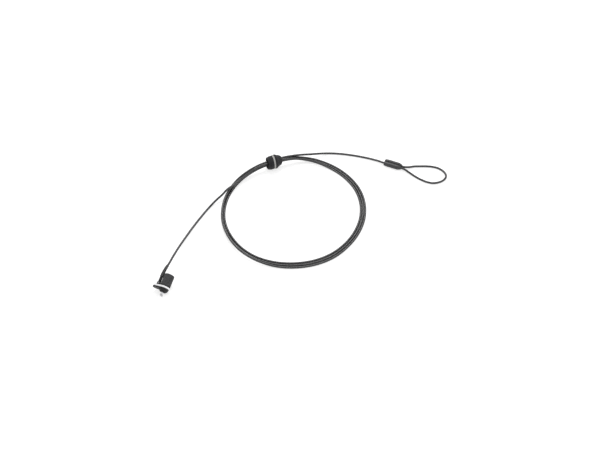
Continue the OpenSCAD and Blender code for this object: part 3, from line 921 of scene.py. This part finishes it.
class CABLELOCK_OT_wrap_strap(bpy.types.Operator):
    """Wrap the hook-and-loop strap and its stripe round the winding"""

    bl_idname = "cable_lock.wrap_strap"
    bl_label = "Wrap Strap"
    bl_options = {"REGISTER", "UNDO"}

    def execute(self, context):
        strap = context.scene.cable_lock_strap
        band = new_piece(
            "strap_band",
            *band_mesh(
                strap, 0, strap.turns, 300, 0, strap.thickness, strap.width, 48, strap.pile
            ),
            looped_pile(strap.webbing),
        )
        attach(band, "cable")
        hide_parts("strap")
        stripe_turns = strap.turns * STRIPE_SHARE
        low = strap.thickness - 0.0001
        line = new_piece(
            "strap_line",
            *band_mesh(
                strap,
                strap.turns - stripe_turns,
                strap.turns - STRIPE_BARE,
                80,
                low,
                strap.thickness + 0.00025,
                strap.stripe_width,
                8,
                0.00004,
            ),
            woven_stripe(strap.stripe),
        )
        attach(line, "cable")
        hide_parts("strap_stripe")
        return {"FINISHED"}


class CABLELOCK_OT_mould_cover(bpy.types.Operator):
    """Mould the cover over the crimped ferrule"""

    bl_idname = "cable_lock.mould_cover"
    bl_label = "Mould Cover"
    bl_options = {"REGISTER", "UNDO"}

    def execute(self, context):
        head = context.scene.cable_lock_head
        lobe, offset, valley, edge = 0.0036, 0.0029, 0.00135, 0.0011
        quarter = []
        for j in range(12):
            turn = math.pi * j / 24
            quarter.append((offset + lobe * math.cos(turn), lobe * math.sin(turn)))
        for j in range(8):
            share = 1 - j / 8
            quarter.append((offset * share, lobe - valley * bump(1.6 * share)))
        top = quarter + [(0, lobe - valley)] + [(-x, y) for x, y in reversed(quarter)]
        outline = top + [(x, -y) for x, y in reversed(top[1:-1])]
        sides = len(outline)
        stations = [0, 0.15, 0.45, 1.0]
        places = [edge * s for s in stations]
        places += [edge + (COVER_LENGTH - 2 * edge) * i / 24 for i in range(1, 24)]
        places += [COVER_LENGTH - edge * s for s in reversed(stations)]
        vertices, hollow_shade = [], []
        for place in places:
            near = min(place, COVER_LENGTH - place)
            share = min(1.0, near / edge)
            inset = edge * (1 - math.sqrt(max(0.0, 1 - (1 - share) ** 2)))
            # It tapers towards the eye, and a little where the cable comes in
            narrow = 1 - 0.24 * smooth_step((place / COVER_LENGTH - 0.78) / 0.22)
            narrow -= 0.1 * smooth_step(1 - place / (0.2 * COVER_LENGTH))
            for x, y in outline:
                size = Vector((x, y)).length
                fit = narrow * (size - inset) / size
                vertices.append(on_cover(place, -x * fit) + y * fit * UP)
                # Mask of the hollow between the lobes, for its painted shade
                hollow_shade.append(bump(x / offset))
        faces = strip_faces(len(places), sides)
        faces.append(tuple(reversed(range(sides))))
        faces.append(tuple(range(len(vertices) - sides, len(vertices))))
        cover = new_piece(
            "ferrule_sleeve", vertices, faces, moulded_plastic("cover_plastic", head.cover)
        )
        attribute = cover.data.attributes.new("hollow_shade", "FLOAT", "POINT")
        attribute.data.foreach_set("value", hollow_shade)
        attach(cover, "cable")
        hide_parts("ferrule_cover")
        dress("ferrule", cast_metal("swaged_aluminium", (0.66, 0.66, 0.67)))
        return {"FINISHED"}


class CABLELOCK_OT_finish_head(bpy.types.Operator):
    """Give each part of the lock head and the cable link its finish"""

    bl_idname = "cable_lock.finish_head"
    bl_label = "Finish Head"
    bl_options = {"REGISTER", "UNDO"}

    def execute(self, context):
        head = context.scene.cable_lock_head
        # The sleeve gets a painted shade along its front rim
        dress("body_sleeve", rubber("sleeve_rubber", head.sleeve, 0.3, 0.65, shade_rim=2.2))
        dress("face_pad", rubber("pad_rubber", (0.025, 0.025, 0.026), 0.25, 0.3))
        dress("lock_case", cast_metal("cast_zinc", (0.55, 0.55, 0.56)))
        bright = turned_metal("turned_steel", (0.64, 0.65, 0.67), 0.12, 0.2, 0.34)
        dress("rear_bezel", bright)
        dress("spindle", bright)
        dress("collar_plate", turned_metal("collar_plating", head.collar, 0.2, 0.3, 0.46))
        dress("key_plug", turned_metal("plug_brass", head.brass, 0.15, 0.24, 0.4))
        dress("wafers", plated_steel("wafer_brass", (0.78, 0.66, 0.38), 0.35))
        spring = plated_steel("spring_steel", (0.5, 0.51, 0.53), 0.3)
        for node in ("wafer_springs", "stop_pin", "wave_washer"):
            dress(node, spring)
        nickel = plated_steel("nickel_plate", (0.42, 0.42, 0.43), 0.16)
        dress("t_bar", nickel)
        dress("slot_pins", nickel)
        black = paint("black_paint", head.paint)
        for node in ("swivel_base", "nose_cap", "cable_link"):
            dress(node, black)
        dress("cable_boot", rubber("boot_rubber", (0.09, 0.09, 0.092), 0.25, 0.3))
        dress("hinge_pin", plated_steel("blackened_steel", (0.2, 0.2, 0.21), 0.35))
        return {"FINISHED"}


def soft_lamp(name, place, aim, size, power):
    """A square lamp that faces the aim."""
    data = bpy.data.lights.new(name, "AREA")
    data.size = size
    data.energy = power
    lamp = bpy.data.objects.new(name, data)
    lamp.location = place
    lamp.rotation_euler = (Vector(aim) - Vector(place)).to_track_quat("-Z", "Y").to_euler()
    bpy.context.scene.collection.objects.link(lamp)


def seen_directly(tree):
    """1 for rays from the camera, in a mirror or through glass, and 0 for others."""
    path = tree.nodes.new("ShaderNodeLightPath")
    value = path.outputs["Is Camera Ray"]
    for name in ("Is Glossy Ray", "Is Transmission Ray"):
        larger = tree.nodes.new("ShaderNodeMath")
        larger.operation = "MAXIMUM"
        tree.links.new(value, larger.inputs[0])
        tree.links.new(path.outputs[name], larger.inputs[1])
        value = larger.outputs["Value"]
    return value


def floor_material(colour):
    """Pale matt floor, lifted to white where it is seen, which keeps its shadows."""
    material = bpy.data.materials.new("floor")
    material.use_nodes = True
    tree = material.node_tree
    tree.nodes.clear()
    matt = tree.nodes.new("ShaderNodeBsdfDiffuse")
    matt.inputs["Color"].default_value = (*colour, 1)
    glow = tree.nodes.new("ShaderNodeEmission")
    lift = tree.nodes.new("ShaderNodeMath")
    lift.operation = "MULTIPLY"
    lift.inputs[1].default_value = 0.6
    tree.links.new(seen_directly(tree), lift.inputs[0])
    tree.links.new(lift.outputs["Value"], glow.inputs["Strength"])
    both = tree.nodes.new("ShaderNodeAddShader")
    tree.links.new(matt.outputs["BSDF"], both.inputs[0])
    tree.links.new(glow.outputs["Emission"], both.inputs[1])
    output = tree.nodes.new("ShaderNodeOutputMaterial")
    tree.links.new(both.outputs["Shader"], output.inputs["Surface"])
    return material


class CABLELOCK_OT_set_stage(bpy.types.Operator):
    """Set up the floor, the light and the camera"""

    bl_idname = "cable_lock.set_stage"
    bl_label = "Set Stage"
    bl_options = {"REGISTER", "UNDO"}

    def execute(self, context):
        scene, stage = context.scene, context.scene.cable_lock_stage
        scene.view_settings.view_transform = "Standard"

        lens = bpy.data.cameras.new("camera")
        lens.lens = stage.focal_length
        lens.sensor_width = 36
        lens.clip_end = 20
        camera = bpy.data.objects.new("camera", lens)
        camera.location = stage.camera_place
        view = Vector(stage.camera_aim) - Vector(stage.camera_place)
        camera.rotation_euler = view.to_track_quat("-Z", "Y").to_euler()
        scene.collection.objects.link(camera)
        scene.camera = camera

        low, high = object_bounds()
        middle = (low + high) / 2
        corners = [
            (middle.x + x * FLOOR_REACH, middle.y + y * FLOOR_REACH, 0)
            for x, y in ((-1, -1), (1, -1), (1, 1), (-1, 1))
        ]
        pale = floor_material(stage.floor_colour)
        floor = new_piece("floor", corners, [(0, 1, 2, 3)], pale, smooth=False)
        floor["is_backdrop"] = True

        soft_lamp("key", (-0.3, 1.3, 1.5), middle, 0.6, stage.key_power)
        soft_lamp("fill", (1.3, -0.5, 0.9), middle, 1.0, stage.fill_power)

        world = bpy.data.worlds.new("sky")
        world.use_nodes = True
        tree = world.node_tree
        tree.nodes.clear()
        light = tree.nodes.new("ShaderNodeBackground")
        light.inputs["Color"].default_value = (1, 1, 1, 1)
        light.inputs["Strength"].default_value = stage.sky
        backdrop = tree.nodes.new("ShaderNodeBackground")
        backdrop.inputs["Color"].default_value = (1, 1, 1, 1)
        mix = tree.nodes.new("ShaderNodeMixShader")
        tree.links.new(seen_directly(tree), mix.inputs[0])
        tree.links.new(light.outputs["Background"], mix.inputs[1])
        tree.links.new(backdrop.outputs["Background"], mix.inputs[2])
        output = tree.nodes.new("ShaderNodeOutputWorld")
        tree.links.new(mix.outputs["Shader"], output.inputs["Surface"])
        scene.world = world
        return {"FINISHED"}


class CABLELOCK_PT_build(bpy.types.Panel):
    """Sidebar panel with the settings and steps of the cable lock"""

    bl_label = "Cable Lock"
    bl_idname = "CABLELOCK_PT_build"
    bl_space_type = "VIEW_3D"
    bl_region_type = "UI"
    bl_category = "Cable Lock"

    def draw(self, context):
        steps = (
            ("cable_lock_stage", CABLELOCK_OT_set_stage),
            ("cable_lock_strap", CABLELOCK_OT_wrap_strap),
            ("cable_lock_head", CABLELOCK_OT_mould_cover),
            ("cable_lock_head", CABLELOCK_OT_finish_head),
            ("cable_lock_cable", CABLELOCK_OT_lay_cable),
        )
        for settings, step in steps:
            box = self.layout.box()
            group = getattr(context.scene, settings)
            for name in group.bl_rna.properties.keys():
                if name not in ("rna_type", "name"):
                    box.prop(group, name)
            box.operator(step.bl_idname)


CLASSES = (
    CableLockCable,
    CableLockStrap,
    CableLockHead,
    CableLockStage,
    CABLELOCK_OT_lay_cable,
    CABLELOCK_OT_wrap_strap,
    CABLELOCK_OT_mould_cover,
    CABLELOCK_OT_finish_head,
    CABLELOCK_OT_set_stage,
    CABLELOCK_PT_build,
)
SETTINGS = {
    "cable_lock_cable": CableLockCable,
    "cable_lock_strap": CableLockStrap,
    "cable_lock_head": CableLockHead,
    "cable_lock_stage": CableLockStage,
}


def register():
    for cls in CLASSES:
        bpy.utils.register_class(cls)
    for name, group in SETTINGS.items():
        setattr(bpy.types.Scene, name, PointerProperty(type=group))


def unregister():
    for name in SETTINGS:
        delattr(bpy.types.Scene, name)
    for cls in reversed(CLASSES):
        bpy.utils.unregister_class(cls)


def main():
    register()
    bpy.ops.cable_lock.set_stage()
    bpy.ops.cable_lock.wrap_strap()
    bpy.ops.cable_lock.mould_cover()
    bpy.ops.cable_lock.finish_head()
    bpy.ops.cable_lock.lay_cable()


if __name__ == "__main__":
    main()
